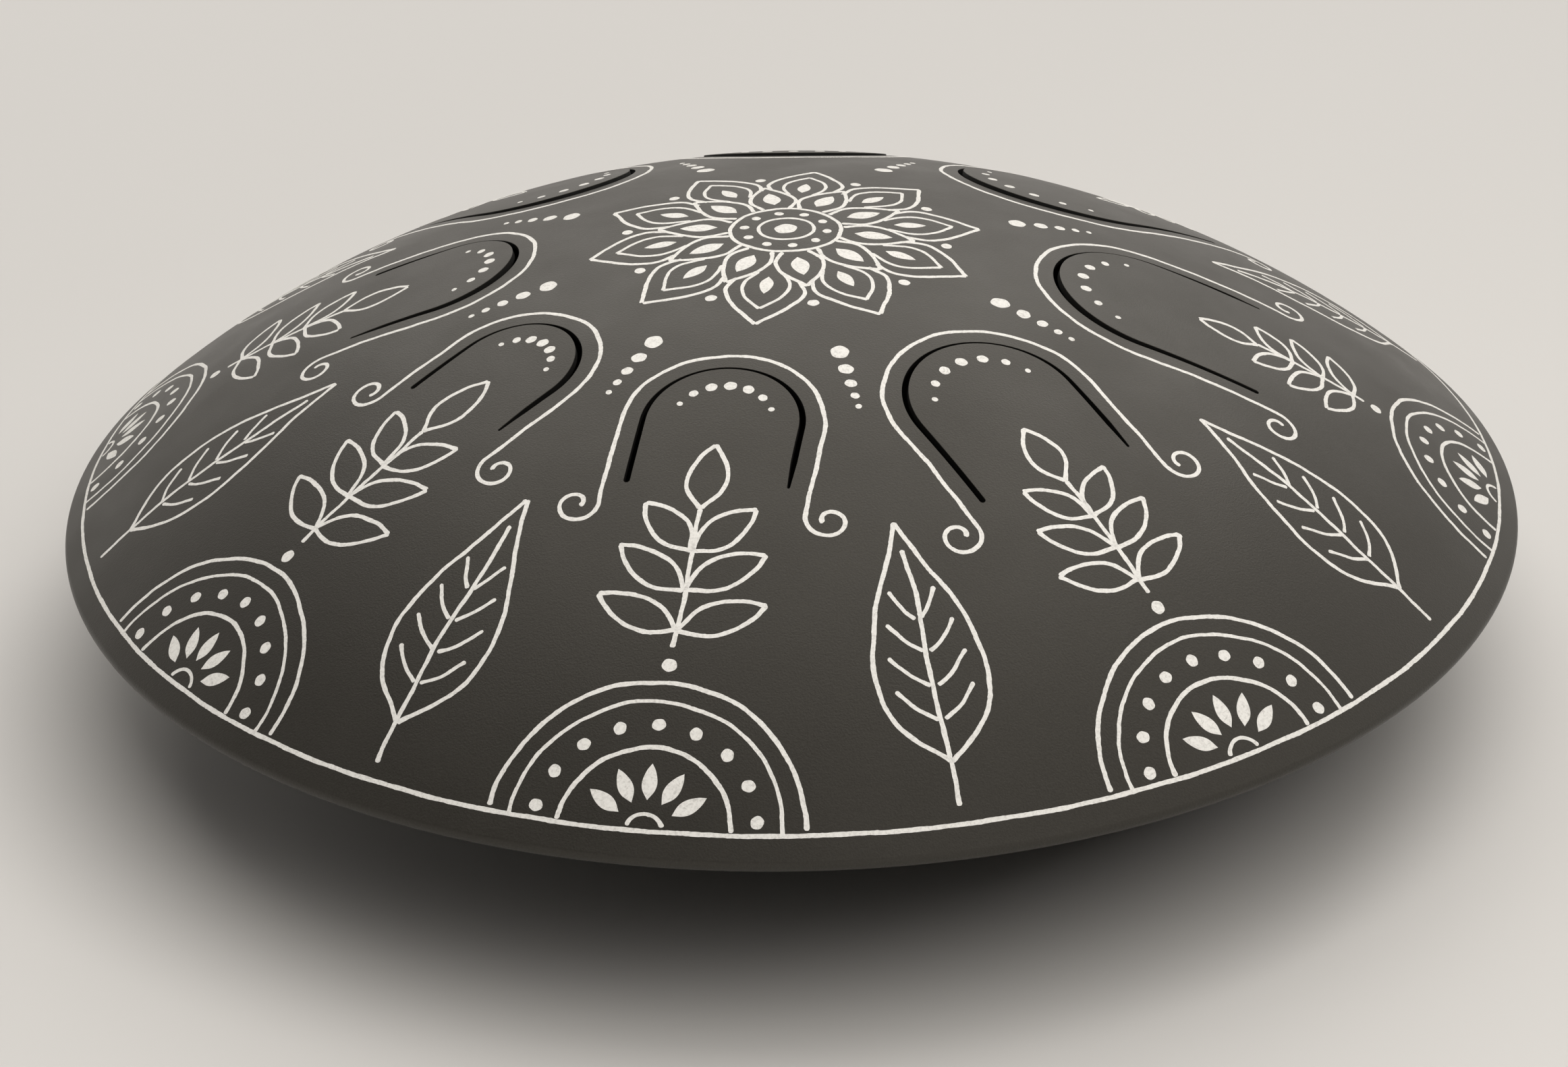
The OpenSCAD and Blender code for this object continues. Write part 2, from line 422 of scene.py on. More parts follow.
def edge_walls(skin, tongue, edge_of):
    """Rounded lip, coated top, and below it the wall painted near-black as the shade deep in the slot;
    edge_of gives its outline at a margin.
    """
    rows, normals = [], []
    base = np.array(edge_of(0.0))
    outward = np.array(edge_of(1.0)) - base
    for margin, depth, angle in EDGE_RINGS:
        xy = np.array(edge_of(margin))
        top = tongue.world(xy[:, 0], xy[:, 1])
        up = dome_normal(top)
        side = -outward / np.linalg.norm(outward, axis=1)[:, None]
        flat = np.column_stack([side, np.zeros(len(side))]) @ tongue.turn.T
        rows.append(tongue.world(xy[:, 0], xy[:, 1], depth))
        normals.append(up * math.cos(angle) + flat * math.sin(angle))
    for radius in (DOME_R - COAT_DEPTH, INNER_R):
        rows.append(tongue.world(base[:, 0], base[:, 1], radius=radius))
        normals.append(normals[-1])
    # The lip and the top of the wall keep the coat's colour; the wall below COAT_DEPTH is painted shade
    skin.strip(rows[:-1], normals[:-1])
    skin.strip(rows[-2:], normals[-2:], slot=1)
    return rows


def surface(skin, loops, radius, step, keep):
    """The outer or inner face of the sheet between plan loops."""
    plan, faces = triangulate(loops, keep(grid(step, DISH_R)))
    points = on_dome(plan, radius)
    normals = dome_normal(points)
    if radius < DOME_R:
        skin.add(points, -normals, [f[::-1] for f in faces])
    else:
        skin.add(points, normals, faces)


def root_wall(skin, tongue, walls, flip):
    """The hidden face where a tongue's skin and the dish's part."""
    top = tongue.world(*np.array(tongue.root_line(EDGE_R)).T)
    bottom = tongue.world(*np.array(tongue.root_line(0.0)).T, radius=INNER_R)
    left = [row[0] if flip else row[-1] for row in walls]
    right = [row[-1] if flip else row[0] for row in walls]
    loop = list(top) + right + list(bottom[::-1]) + left[::-1]
    order = range(len(loop)) if flip else range(len(loop) - 1, -1, -1)
    skin.add(loop, None, [list(order)])


def tongue_skin(tongue, *materials):
    skin = Skin(tongue.raised)
    walls = edge_walls(skin, tongue, tongue.inner_edge)
    for radius, margin, step in ((DOME_R, EDGE_R, OUTER_STEP), (INNER_R, 0.0, INNER_STEP)):
        loop = tongue.inner_edge(margin) + tongue.root_line(margin)
        outline = tongue.world(*np.array(loop).T, radius=radius)[:, :2]

        def keep(plan):
            xy = tongue.local(plan)
            clear = (tongue.slot_distance(xy) > EDGE_CLEAR) & (xy[:, 1] > tongue.root_y + EDGE_CLEAR)
            return plan[tongue.holds(xy) & clear]

        surface(skin, [outline], radius, step, keep)
    root_wall(skin, tongue, walls, False)
    return skin.build(tongue.body + "_skin", *materials)


def upper_skin(*materials):
    skin = Skin()
    inner_edge_r = math.sqrt(INNER_R ** 2 - (EDGE_TOP_Z - DOME_Z) ** 2)
    walls = [edge_walls(skin, t, t.outer_edge) for t in tongues]
    sheet_faces = (DOME_R, EDGE_R, OUTER_STEP, DISH_R), (INNER_R, 0.0, INNER_STEP, inner_edge_r)
    for radius, margin, step, rim_r in sheet_faces:
        loops = [circle(rim_r)]
        for t in tongues:
            loop = t.outer_edge(margin) + t.root_line(margin)[::-1]
            loops.append(t.world(*np.array(loop).T, radius=radius)[:, :2])

        def keep(plan):
            plan = plan[np.hypot(plan[:, 0], plan[:, 1]) < rim_r - EDGE_CLEAR]
            for t in tongues:
                xy = t.local(plan)
                near_root = (np.abs(xy[:, 0]) < t.half_w) & (np.abs(xy[:, 1] - t.root_y) < ROOT_CLEAR)
                plan = plan[~t.holds(xy) & (t.slot_distance(xy) > EDGE_CLEAR) & ~near_root]
            return plan

        surface(skin, loops, radius, step, keep)
    for t, rows in zip(tongues, walls):
        root_wall(skin, t, rows, True)
    level = np.full(ROUND_STEPS, EDGE_TOP_Z)
    rim = [np.column_stack([circle(r), level]) for r in (DISH_R, inner_edge_r)]
    skin.strip(rim, None, closed=True)
    return skin.build("upper_skin", *materials)


# Turned pieces

def fillet(corners, steps=6):
    """A closed outline from (r, z, radius) corners, each rounded by its radius."""
    out = []
    for i, (x, y, radius) in enumerate(corners):
        here = np.array((x, y))
        before = np.array(corners[i - 1][:2]) - here
        after = np.array(corners[(i + 1) % len(corners)][:2]) - here
        if not radius:
            out.append(tuple(here))
            continue
        before, after = before / np.linalg.norm(before), after / np.linalg.norm(after)
        half = math.acos(float(np.clip(before @ after, -1, 1))) / 2
        centre = here + (before + after) / np.linalg.norm(before + after) * radius / math.sin(half)
        start = here + before * radius / math.tan(half) - centre
        end = here + after * radius / math.tan(half) - centre
        a = math.atan2(start[1], start[0])
        sweep = (math.atan2(end[1], end[0]) - a + math.pi) % (2 * math.pi) - math.pi
        turns = a + sweep * np.linspace(0, 1, steps + 1)
        out.extend((centre[0] + radius * math.cos(t), centre[1] + radius * math.sin(t)) for t in turns)
    return out


def lathe(name, outline, material, centre=(0, 0), steps=ROUND_STEPS, sharp=40):
    """A closed (r, z) outline turned about a vertical axis."""
    outline = np.array(outline)
    count = len(outline)
    turns = np.arange(steps) * 2 * math.pi / steps
    points = []
    for a in turns:
        points.extend((centre[0] + r * math.cos(a), centre[1] + r * math.sin(a), z) for r, z in outline)
    faces = []
    for i in range(steps):
        here, there = i * count, (i + 1) % steps * count
        for j in range(count):
            k = (j + 1) % count
            faces.append((here + j, there + j, there + k, here + k))
    mesh = bpy.data.meshes.new(name)
    mesh.from_pydata((np.array(points) * MM).tolist(), [], faces)
    tidy = bmesh.new()
    tidy.from_mesh(mesh)
    bmesh.ops.recalc_face_normals(tidy, faces=tidy.faces)
    tidy.to_mesh(mesh)
    tidy.free()
    mesh.polygons.foreach_set("use_smooth", [True] * len(mesh.polygons))
    mesh.set_sharp_from_angle(angle=math.radians(sharp))
    return new_object(name, mesh, material)


def lower_skin(material):
    """Flank, rounded knuckle, flat base and the rolled bead around the sound port."""
    knuckle_r, bead_r = 36.0, 2.0
    drop = EDGE_LOW_Z - BASE_Z
    above = (DISH_R ** 2 - BASE_R ** 2 - drop ** 2) / (2 * drop)
    flank_r, flank_z = math.hypot(DISH_R, above), EDGE_LOW_Z + above

    def flank(radius, low_z):
        """The flank from its edge down to the knuckle's corner."""
        zs = np.linspace(EDGE_LOW_Z, low_z, 25)
        return [(math.sqrt(radius ** 2 - (flank_z - z) ** 2), z, 0) for z in zs]

    # The last points of each flank give way to one corner, which leaves room to round the knuckle
    outer = flank(flank_r, BASE_Z)
    inner = flank(flank_r - SHEET_T, BASE_Z + SHEET_T)
    outer = outer[:-4] + [outer[-1][:2] + (knuckle_r,)]
    inner = inner[:-4] + [inner[-1][:2] + (knuckle_r - SHEET_T,)]
    bead = (PORT_R + bead_r, BASE_Z + SHEET_T)
    start = -math.asin(SHEET_T / bead_r)
    turns = np.linspace(start, -2 * math.pi, 25)
    lip = [(bead[0] + bead_r * math.cos(a), bead[1] + bead_r * math.sin(a), 0) for a in turns]
    return lathe("lower_skin", fillet(outer + lip + inner[::-1]), material)


def rim_bead(material):
    """The ground weld that rounds off the rim."""
    low, high = RIM_Z - WELD_H / 2, RIM_Z + WELD_H / 2
    inner_r = plan_radius(rim_points).min()
    sagitta = DRUM_R - DISH_R
    bead_r = (sagitta ** 2 + (WELD_H / 2) ** 2) / (2 * sagitta)
    reach = math.asin(WELD_H / 2 / bead_r)
    arc = [(DRUM_R - bead_r + bead_r * math.cos(a), RIM_Z + bead_r * math.sin(a))
           for a in np.linspace(-reach, reach, 11)]
    return lathe("rim_bead", [(inner_r, low)] + arc + [(inner_r, high)], material)


def foot_skin(number, material):
    """A moulded rubber foot: rounded sole, a groove round its side, and the screw's recess."""
    points = node_points(f"foot_{number}")
    low, high = points.min(0), points.max(0)
    centre = (low[:2] + high[:2]) / 2
    r = np.hypot(*(points[:, :2] - centre).T)
    height = high[2]
    top_r = r[points[:, 2] > height - SAME].max()
    sole = points[:, 2] < SAME
    sole_r, recess_r, bore_r = r[sole].max(), r[sole].min(), r.min()
    recess_z = points[np.abs(r - recess_r) < SAME][:, 2].max()
    seat = (r > bore_r + SAME) & (r < recess_r) & (points[:, 2] > recess_z)
    seat_r, seat_z = r[seat].max(), points[seat][:, 2].min()
    groove_z, groove_half, groove_deep = height * 0.62, 0.6, 0.7

    def side(z):
        return sole_r + (top_r - sole_r) * z / height

    corners = [
        (recess_r, 0, 0.4), (sole_r, 0, 1.2),
        (side(groove_z - groove_half), groove_z - groove_half, 0.2),
        (side(groove_z) - groove_deep, groove_z, 0.3),
        (side(groove_z + groove_half), groove_z + groove_half, 0.2), (top_r, height, 0.5),
        (seat_r, height, 0.2), (seat_r, seat_z, 0.1), (bore_r, seat_z, 0.1),
        (bore_r, recess_z, 0.1), (recess_r, recess_z, 0.3),
    ]
    return lathe(f"foot_{number}_skin", fillet(corners, 4), material, centre, steps=72)


# Drawn ornament: hand-painted lines that lie on the dome

LINE_PROFILE = ((-1.0, -LINE_SINK), (-0.7, LINE_TOP), (0.7, LINE_TOP), (1.0, -LINE_SINK))
FILL_EDGE = 0.18
ON_DISH = -1
IN_SLOT = -2


def carriers(points):
    """For each point on the dome, its tongue's index, ON_DISH or IN_SLOT."""
    found = np.full(len(points), ON_DISH)
    for k, tongue in enumerate(tongues):
        xy = tongue.local(points[:, :2])
        found[tongue.holds(xy)] = k
    for tongue in tongues:
        xy = tongue.local(points[:, :2])
        found[tongue.slot_distance(xy) < SLOT_W / 2 + SLOT_CLEAR] = IN_SLOT
    return found


def lifted(points, height):
    """Points moved onto the dome and raised by height."""
    return (0, 0, DOME_Z) + dome_normal(points) * (DOME_R + np.asarray(height))[..., None]


def hand_noise(at, length, closed, wavelength):
    """Smooth noise along a stroke, about -1 to 1; it meets itself on a closed one."""
    waves = max(1, round(length / wavelength))
    total = np.zeros(len(at))
    for octave in (1, 2):
        turns = waves * octave if closed else length / wavelength * octave * random.uniform(0.8, 1.2)
        total += np.sin(2 * math.pi * (at / length * turns + random.random())) / octave
    return total / 1.5


class Ink:
    """Strokes and dots of paint, gathered by the body that carries them."""

    def __init__(self):
        self.points = {}
        self.faces = {}
        self.slots = {}

    def add(self, carrier, points, faces, slot=0):
        kept = self.points.setdefault(carrier, [])
        start = len(kept)
        kept.extend(map(tuple, points))
        self.faces.setdefault(carrier, []).extend([start + i for i in f] for f in faces)
        self.slots.setdefault(carrier, []).extend([slot] * len(faces))

    def line(self, patch, points, width=LINE_W, closed=False, sway=0.22):
        """A stroke through (x, y) points of a patch, with a hand's small sway, and blobs at its ends."""
        points = np.asarray(points, float)
        path = on_dome(patch.plan(np.vstack([points, points[:1]]) if closed else points))
        run = np.concatenate([[0], np.cumsum(np.linalg.norm(np.diff(path, axis=0), axis=1))])
        length = run[-1]
        body = np.linspace(0, length, max(4, round(length / LINE_STEP)) + 1)
        if closed:
            at, end = body[:-1], np.full(len(body) - 1, length)
        else:
            cap = width / 2 * (1 - np.cos(np.linspace(0.25, math.pi / 2, 4)))
            inner = body[(body > width / 2 + 0.2) & (body < length - width / 2 - 0.2)]
            at = np.concatenate([cap, inner, length - cap[::-1]])
            end = np.minimum(at, length - at)
        path = np.column_stack([np.interp(at, run, path[:, k]) for k in range(3)])
        ahead = np.roll(path, -1, 0) - np.roll(path, 1, 0) if closed else np.gradient(path, axis=0)
        side = np.cross(dome_normal(path), ahead)
        side /= np.linalg.norm(side, axis=1)[:, None]

        def waves(wavelength):
            return hand_noise(at, length, closed, wavelength)

        wander = sway * (waves(31) + 0.35 * waves(9))
        path = path + side * wander[:, None]
        half = width / 2 * (1 + 0.08 * waves(14) + 0.05 * waves(4))
        half *= 1 + 0.18 * np.exp(-(end / width / 1.3) ** 2)
        half *= np.sqrt(1 - np.clip(1 - end / (width / 2), 0, 1) ** 2)
        self.ribbon(path, side, half, closed)

    def ribbon(self, path, side, half, closed):
        """Quads over the rows of a stroke, parted where its carrier changes and left out over slots."""
        on = carriers(path)
        count, columns = len(path), len(LINE_PROFILE)
        left, right = half * (1 + edge_noise.normal(0, LINE_ROUGH, (2, count)))
        lanes = []
        for across, height in LINE_PROFILE:
            offset = across * (left if across < 0 else right)
            lanes.append(lifted(path + side * offset[:, None], np.full(count, height)))
        rows = np.stack(lanes, 1)

        def quads(steps):
            """Faces over a number of steps from row to row, the last one back to the first on a ring."""
            starts = [(i * columns + j, (i + 1) % count * columns + j)
                      for i in range(steps) for j in range(columns - 1)]
            return [(a, b, b + 1, a + 1) for a, b in starts]

        if closed:
            self.add(on[0], rows.reshape(-1, 3), quads(count))
            return
        start = 0
        while start < count:
            stop = start
            while stop < count and on[stop] == on[start]:
                stop += 1
            reach = stop + 1 if stop < count and on[stop] != IN_SLOT else stop
            if on[start] != IN_SLOT and reach - start > 1:
                self.add(on[start], rows[start:reach].reshape(-1, 3), quads(reach - start - 1))
            start = stop

    def fill(self, patch, outline):
        """A filled shape, from the closed outline of a convex form in a patch."""
        outline = np.asarray(outline, float)
        middle = outline.mean(0)
        carrier = carriers(on_dome(patch.plan([middle])))[0]
        if carrier == IN_SLOT:
            return
        inward = middle - outline
        inner = outline + inward / np.linalg.norm(inward, axis=1)[:, None] * FILL_EDGE
        points = [lifted(on_dome(patch.plan([middle])), [LINE_TOP])]
        for ring, height in ((inner, LINE_TOP), (outline, -LINE_SINK)):
            points.append(lifted(on_dome(patch.plan(ring)), np.full(len(ring), height)))
        steps = len(outline)
        sides = [(1 + i, 1 + (i + 1) % steps) for i in range(steps)]
        faces = [(0, a, b) for a, b in sides] + [(a, a + steps, b + steps, b) for a, b in sides]
        self.add(carrier, np.concatenate(points), faces, slot=1)

    def dot(self, patch, at, radius):
        """A filled dot, dabbed slightly out of round."""
        steps = max(14, round(radius * 14))
        turns = np.arange(steps) * 2 * math.pi / steps
        oval = 0.05 * np.sin(2 * turns + random.uniform(0, 6))
        ragged = 0.03 * np.sin(5 * turns + random.uniform(0, 6))
        r = radius * (1 + oval + ragged)
        self.fill(patch, np.column_stack([at[0] + r * np.cos(turns), at[1] + r * np.sin(turns)]))

    def build(self, carrier, name, *materials):
        """One piece of all that a body carries, shaded like the dome below it."""
        points = np.array(self.points[carrier])
        normals = dome_normal(points)
        if carrier != ON_DISH:
            points, normals = tongues[carrier].raised(points, normals)
        mesh = bpy.data.meshes.new(name)
        mesh.from_pydata((points * MM).tolist(), [], self.faces[carrier])
        mesh.polygons.foreach_set("use_smooth", [True] * len(mesh.polygons))
        mesh.polygons.foreach_set("material_index", self.slots[carrier])
        mesh.normals_split_custom_set_from_vertices(normals.tolist())
        return new_object(name, mesh, *materials)


def spline(points, steps=10):
    """A smooth line through points."""
    p = np.asarray(points, float)
    p = np.vstack([2 * p[0] - p[1], p, 2 * p[-1] - p[-2]])
    t = np.linspace(0, 1, steps, endpoint=False)[:, None]
    out = []
    for a, b, c, d in zip(p, p[1:], p[2:], p[3:]):
        square, cube = a - 2.5 * b + 2 * c - d / 2, 1.5 * (b - c) + (d - a) / 2
        out.append(b + (c - a) * t / 2 + square * t ** 2 + cube * t ** 3)
    return np.vstack(out + [p[-2:-1]])


def arc(centre, radius, start, end, steps=48):
    """Points on an arc between two angles in degrees; radius may be a pair, from start to end."""
    first, last = radius if isinstance(radius, tuple) else (radius, radius)
    turns = np.radians(np.linspace(start, end, steps))
    r = np.linspace(first, last, steps)
    return np.column_stack([centre[0] + r * np.cos(turns), centre[1] + r * np.sin(turns)])


def both_sides(points):
    """A line and its mirror image."""
    points = np.asarray(points, float)
    return points, points * (-1, 1)


def turned(points, degrees):
    c, s = math.cos(math.radians(degrees)), math.sin(math.radians(degrees))
    return np.asarray(points, float) @ np.array([[c, s], [-s, c]])


def dome_angle(radius):
    """Angle from the dome's axis of a plan radius."""
    return math.asin(radius / DOME_R)


def almond(base, lean, length, width):
    """The two sides of a pointed oval, each from its base to its tip, leaning right by lean degrees."""
    side = spline([(0, 0), (0.42 * width, 0.27 * length), (0.5 * width, 0.52 * length),
                   (0.3 * width, 0.8 * length), (0, length)])
    return [turned(half, -lean) + base for half in both_sides(side)]


def seed(base, lean, length, width):
    """The closed outline of a pointed oval."""
    right, left = almond(base, lean, length, width)
    return np.vstack([right[:-1], left[:0:-1]])


def rosette(ink):
    """A flower at the crown: beads between two rings, then two rows of petals."""
    crown = Patch(0, 0)
    count = 10
    step = 360 / count
    ink.dot(crown, (0, 0), 2.6)
    ink.line(crown, arc((0, 0), 6.2, 0, 360)[:-1], FINE_W, closed=True)
    ink.line(crown, arc((0, 0), 12.4, 0, 360)[:-1], closed=True)
    for k in range(count):
        turn = (k + 0.25) * step
        between = turn + step / 2
        ink.dot(crown, turned([(0, 9.3)], turn)[0], 1.1)
        ink.fill(crown, turned(seed((0, 15.4), 0, 8.6, 4.0), turn))
        ink.fill(crown, turned(seed((0, 24.5), 0, 7.4, 3.0), between))
        ink.dot(crown, turned([(0, 36)], turn)[0], 1.3)
        for side in both_sides(spline([(2.9, 12.6), (5.1, 17.5), (3.9, 23), (0, 29)])):
            ink.line(crown, turned(side, turn))
        for side in both_sides(spline([(6.9, 25.6), (8.6, 31), (5.6, 37.5), (0, 44)])):
            ink.line(crown, turned(side, between))
        for side in both_sides(spline([(2.6, 22.6), (5.0, 28), (4.0, 33), (0, 38)])):
            ink.line(crown, turned(side, between), FINE_W)


def dot_row(ink, azimuth):
    """A row of dots between two tongues, smaller towards the rim."""
    patch = Patch(azimuth, dome_angle(64))
    for y, radius in ((9.5, 2.1), (3.6, 1.65), (-1.2, 1.3), (-5.2, 1.0), (-8.6, 0.75)):
        ink.dot(patch, (0, y), radius)


def leaf(ink, azimuth):
    """A long veined leaf between two tongues, on a stem from the rim line."""
    patch = Patch(azimuth, dome_angle(129))
    outline = spline([(0, 29), (3.6, 19), (8.6, 7), (11.2, -6), (8.8, -17), (0, -26)])
    for side in both_sides(outline):
        ink.line(patch, side)
    ink.line(patch, spline([(0, 22), (0.5, 8), (-0.4, -10), (0, -35)]))
    order = np.argsort(outline[:, 1])
    for y in np.arange(-17, 9, 7.5):
        reach = 0.72 * np.interp(y + 7, outline[order, 1], outline[order, 0])
        for side in both_sides(spline([(0.6, y), (reach * 0.55, y + 2.6), (reach, y + 7)])):
            ink.line(patch, side, FINE_W)


def echo(ink, tongue):
    """A line around the slot that ends in two scrolls beside the root, and beads inside the arch."""
    offset, scroll_r = 4.6, 4.8
    x, foot_y = tongue.half_w + offset, tongue.root_y - 7
    over = arc((0, tongue.arch_y), x, 0, 180)
    scroll = arc((x + scroll_r, foot_y), (scroll_r, 1.3), 180, 575, 60)
    right = np.vstack([scroll[::-1], [(x, y) for y in np.linspace(foot_y, tongue.arch_y, 12)][1:-1]])
    ink.line(tongue, np.vstack([right, over, right[::-1] * (-1, 1)]))
    beads = 7
    for k in range(beads):
        share = k / (beads - 1)
        at = arc((0, tongue.arch_y), tongue.half_w - 6, 25 + 130 * share, 0, 1)[0]
        ink.dot(tongue, at, 0.7 + 0.65 * math.sin(math.pi * share))


def scallop(ink, azimuth, size):
    """A half round on the rim line, banded with beads around a fan of seeds."""
    patch = Patch(azimuth, dome_angle(RIM_LINE_R))

    def inside_rim(points):
        return points[np.hypot(*patch.plan(points).T) < RIM_LINE_R]

    for radius, width in ((size, LINE_W), (size - 4.2, FINE_W), (size - 14, LINE_W)):
        ink.line(patch, inside_rim(arc((0, 0), radius, 0, 180, 90)), width)
    beads = 9
    for k in range(beads):
        at = arc((0, 0), size - 9.1, 180 * (k + 0.5) / beads, 0, 1)
        if len(inside_rim(at)):
            ink.dot(patch, at[0], 1.35)
    ink.line(patch, arc((0, 0), 3.6, 15, 165, 20), FINE_W)
    for lean in (-56, -28, 0, 28, 56):
        ink.fill(patch, turned(seed((0, 6.2), 0, 7.6, 3.0), lean))


def sprig(ink, tongue, base_y, tip_y):
    """A stem with pairs of leaflets and one more at its end, from below the root onto the tongue."""
    size = tip_y - base_y

    def leaflet(height, lean, length, width):
        return [half * size + (0, base_y) for half in almond((0, height), lean, length, width)]

    ink.dot(tongue, (0, base_y), 1.5)
    stem = (0, 0.07 * size), (0.3, 0.3 * size), (0, 0.68 * size)
    ink.line(tongue, spline(np.array(stem) + (0, base_y)))
    for half in leaflet(0.68, 0, 0.32, 0.15):
        ink.line(tongue, half)
    for height, lean, length in ((0.14, 66, 0.34), (0.31, 56, 0.33), (0.48, 44, 0.30)):
        for half in leaflet(height, lean, length, 0.13):
            for side in both_sides(half):
                ink.line(tongue, side)


def ornament():
    ink = Ink()
    rosette(ink)
    ink.line(Patch(0, 0), arc((0, 0), RIM_LINE_R, 0, 360, 720)[:-1], closed=True, sway=0.09)
    around = sorted(tongues, key=lambda t: t.azimuth)
    scallop_r = 31.0
    for tongue, after in zip(around, around[1:] + around[:1]):
        span = (after.azimuth - tongue.azimuth) % (2 * math.pi)
        middle = tongue.azimuth + span / 2
        dot_row(ink, middle)
        leaf(ink, middle)
        echo(ink, tongue)
        scallop(ink, tongue.azimuth, scallop_r)
        root_angle = dome_angle(np.hypot(*tongue.plan([(0, tongue.root_y)])[0]))
        gap = DOME_R * (dome_angle(RIM_LINE_R) - root_angle) - scallop_r
        sprig(ink, tongue, tongue.root_y - gap + 4.5, tongue.root_y + 0.3 * tongue.length)
    return ink


# Materials

def node(tree, kind, **inputs):
    """A shader node with its inputs set, each from a value or from another node's output."""
    made = tree.nodes.new("ShaderNode" + kind)
    for name, value in inputs.items():
        socket = made.inputs[name]
        if isinstance(value, bpy.types.NodeSocket):
            tree.links.new(value, socket)
        else:
            socket.default_value = value
    return made


def noise(tree, scale, detail=3.0, roughness=0.5, distortion=0.0):
    coords = tree.nodes.get("coords")
    if coords is None:
        coords = tree.nodes.new("ShaderNodeTexCoord")
        coords.name = "coords"
    made = node(tree, "TexNoise", Vector=coords.outputs["Object"], Scale=scale, Detail=detail,
                Roughness=roughness, Distortion=distortion)
    return made.outputs["Fac"]


def ranged(tree, value, low, high, out_low, out_high):
    inputs = {"From Min": low, "From Max": high, "To Min": out_low, "To Max": out_high}
    return node(tree, "MapRange", Value=value, **inputs).outputs["Result"]


def mixed(tree, factor, a, b):
    return node(tree, "MixRGB", Fac=factor, Color1=a, Color2=b).outputs["Color"]


def bump(tree, height, strength, distance_mm):
    made = node(tree, "Bump", Height=height, Strength=strength, Distance=distance_mm * MM)
    return made.outputs["Normal"]


def new_material(name, **settings):
    """A material's node tree and its shader, with plain settings on the shader's own sockets."""
    made = bpy.data.materials.new(name)
    made.use_nodes = True
    shader = made.node_tree.nodes["Principled BSDF"]
    for key, value in settings.items():
        shader.inputs[key].default_value = value
    return made, made.node_tree, shader


def dress(tree, shader, colour, roughness, normal):
    """Links a material's colour, roughness and grain to its shader."""
    for socket, value in (("Base Color", colour), ("Roughness", roughness), ("Normal", normal)):
        tree.links.new(value, shader.inputs[socket])


def coat_material():
    """Warm dark-grey baked coat: fine orange-peel grain, slight mottling."""
    made, tree, shader = new_material("coat", Metallic=0.0)
    shader.inputs["Specular Tint"].default_value = (1.0, 0.965, 0.88, 1)
    dark, pale = (0.0150, 0.0137, 0.0115, 1), (0.0190, 0.0175, 0.0150, 1)
    speck = (0.035, 0.0326, 0.0285, 1)
    mottle = ranged(tree, noise(tree, 22, 5, 0.6), 0.3, 0.7, 0, 1)
    grain = noise(tree, 2400, 3, 0.6)
    speckle = ranged(tree, grain, 0.38, 0.68, 0, 0.35)
    colour = mixed(tree, speckle, mixed(tree, mottle, dark, pale), speck)
    roughness = ranged(tree, noise(tree, 60, 4), 0.3, 0.7, 0.38, 0.46)
    dress(tree, shader, colour, roughness, bump(tree, grain, 0.5, 0.16))
    return made


def slot_shade_material():
    """Walls of the slots, painted near-black as the shade deep inside them."""
    made, tree, shader = new_material("slot_wall_shade", Metallic=0.0)
    shader.inputs["Specular IOR Level"].default_value = 0.2
    # Near-black wall colour: painted shade of a slot's inside
    colour = mixed(tree, noise(tree, 500, 4), (0.004, 0.004, 0.0038, 1), (0.010, 0.0097, 0.009, 1))
    roughness = ranged(tree, noise(tree, 700, 3), 0.3, 0.7, 0.6, 0.8)
    dress(tree, shader, colour, roughness, bump(tree, noise(tree, 900, 3), 0.3, 0.1))
    return made


def paint_material(name, thin_share):
    """Off-white paint from a marker; thin_share is how far the coat shows through where it is thin."""
    made, tree, shader = new_material(name, Metallic=0.0)
    white, whiter = (0.80, 0.786, 0.75, 1), (0.845, 0.836, 0.803, 1)
    chalk, see_through = (0.5, 0.485, 0.455, 1), (0.38, 0.365, 0.335, 1)
    chalky = ranged(tree, noise(tree, 1500, 4, 0.7), 0.46, 0.72, 0, 0.6)
    thin = ranged(tree, noise(tree, 620, 4, 0.6, 2.5), 0.55, 0.68, 0, thin_share)
    tone = mixed(tree, chalky, mixed(tree, noise(tree, 90), white, whiter), chalk)
    roughness = ranged(tree, noise(tree, 300), 0.3, 0.7, 0.45, 0.65)
    grain = bump(tree, noise(tree, 900, 3), 0.3, 0.1)
    dress(tree, shader, mixed(tree, thin, tone, see_through), roughness, grain)
    return made


def rubber_material():
    made, tree, shader = new_material("rubber", Metallic=0.0)
    colour = mixed(tree, noise(tree, 140, 4), (0.010, 0.010, 0.011, 1), (0.022, 0.022, 0.023, 1))
    roughness = ranged(tree, noise(tree, 200), 0.3, 0.7, 0.62, 0.8)
    dress(tree, shader, colour, roughness, bump(tree, noise(tree, 1100, 3), 0.4, 0.15))
    return made


def zinc_material():
    """Zinc-plated steel of the screws, washers and rivet nuts."""
    made, tree, shader = new_material("zinc", Metallic=1.0)
    colour = mixed(tree, noise(tree, 350, 4), (0.52, 0.53, 0.55, 1), (0.68, 0.69, 0.70, 1))
    roughness = ranged(tree, noise(tree, 500, 3), 0.3, 0.7, 0.24, 0.4)
    dress(tree, shader, colour, roughness, bump(tree, noise(tree, 1400, 2), 0.2, 0.05))
    return made


# Stage

def turn_matrix(axis, degrees):
    return Matrix.Rotation(math.radians(degrees), 3, axis)


